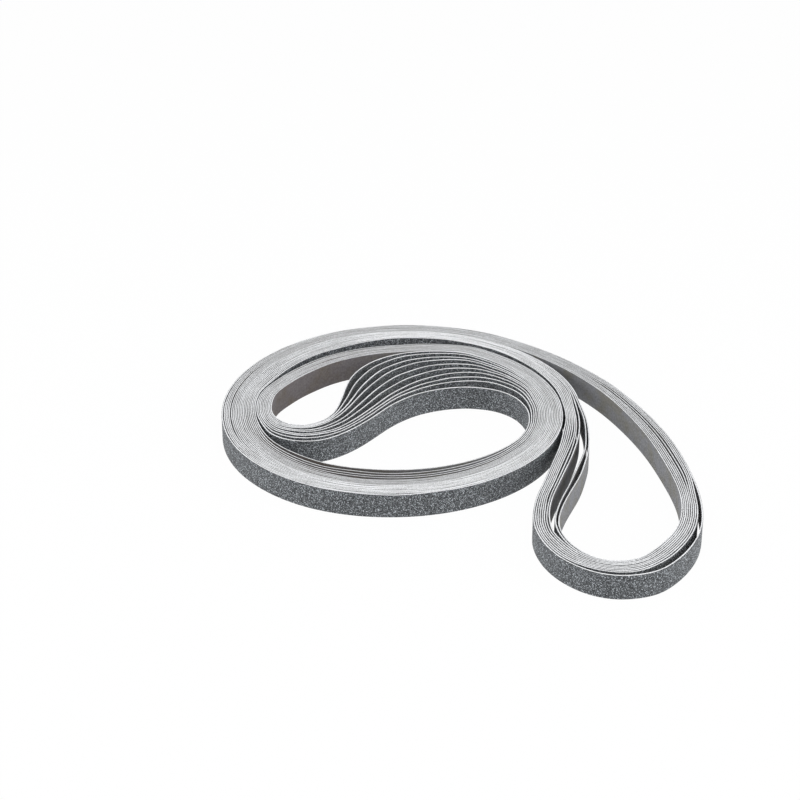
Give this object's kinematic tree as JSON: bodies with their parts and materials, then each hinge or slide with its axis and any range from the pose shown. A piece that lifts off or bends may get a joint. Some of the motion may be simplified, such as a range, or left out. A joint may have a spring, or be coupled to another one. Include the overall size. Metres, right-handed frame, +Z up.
{
  "type": "sanding belt bundle",
  "caption": "Bundle of narrow endless sanding belts, nested in one another, pressed into a double strand and coiled loosely, standing on edge.",
  "frame": {"origin": "under the middle of the bundle's bounding box, on the surface it stands on", "axes": "+Z up, along the belts' width; +Y along the bundle's longest extent, away from the teardrop end; +X to the right when seen from the teardrop's side"},
  "size_m": [0.2306, 0.2524, 0.0127],
  "materials": {
    "sanding_belt": "dark grey abrasive grain on woven cloth, brownish grey back, pale cut edges",
    "splice_tape": "thin translucent film tape"
  },
  "bodies": {
    "belt_01": {"belt_01": "sanding_belt", "splice_tape_01": "splice_tape"},
    "belt_02": {"belt_02": "sanding_belt", "splice_tape_02": "splice_tape"},
    "belt_03": {"belt_03": "sanding_belt", "splice_tape_03": "splice_tape"},
    "belt_04": {"belt_04": "sanding_belt", "splice_tape_04": "splice_tape"},
    "belt_05": {"belt_05": "sanding_belt", "splice_tape_05": "splice_tape"},
    "belt_06": {"belt_06": "sanding_belt", "splice_tape_06": "splice_tape"},
    "belt_07": {"belt_07": "sanding_belt", "splice_tape_07": "splice_tape"},
    "belt_08": {"belt_08": "sanding_belt", "splice_tape_08": "splice_tape"},
    "belt_09": {"belt_09": "sanding_belt", "splice_tape_09": "splice_tape"},
    "belt_10": {"belt_10": "sanding_belt", "splice_tape_10": "splice_tape"}
  },
  "joints": [
    {"name": "belt_02_lift", "type": "slide", "parent": "belt_01", "child": "belt_02", "axis": [0, 0, 1], "range_m": [0, 0.015]},
    {"name": "belt_03_lift", "type": "slide", "parent": "belt_01", "child": "belt_03", "axis": [0, 0, 1], "range_m": [0, 0.015]},
    {"name": "belt_04_lift", "type": "slide", "parent": "belt_01", "child": "belt_04", "axis": [0, 0, 1], "range_m": [0, 0.015]},
    {"name": "belt_05_lift", "type": "slide", "parent": "belt_01", "child": "belt_05", "axis": [0, 0, 1], "range_m": [0, 0.015]},
    {"name": "belt_06_lift", "type": "slide", "parent": "belt_01", "child": "belt_06", "axis": [0, 0, 1], "range_m": [0, 0.015]},
    {"name": "belt_07_lift", "type": "slide", "parent": "belt_01", "child": "belt_07", "axis": [0, 0, 1], "range_m": [0, 0.015]},
    {"name": "belt_08_lift", "type": "slide", "parent": "belt_01", "child": "belt_08", "axis": [0, 0, 1], "range_m": [0, 0.015]},
    {"name": "belt_09_lift", "type": "slide", "parent": "belt_01", "child": "belt_09", "axis": [0, 0, 1], "range_m": [0, 0.015]},
    {"name": "belt_10_lift", "type": "slide", "parent": "belt_01", "child": "belt_10", "axis": [0, 0, 1], "range_m": [0, 0.015]}
  ]
}
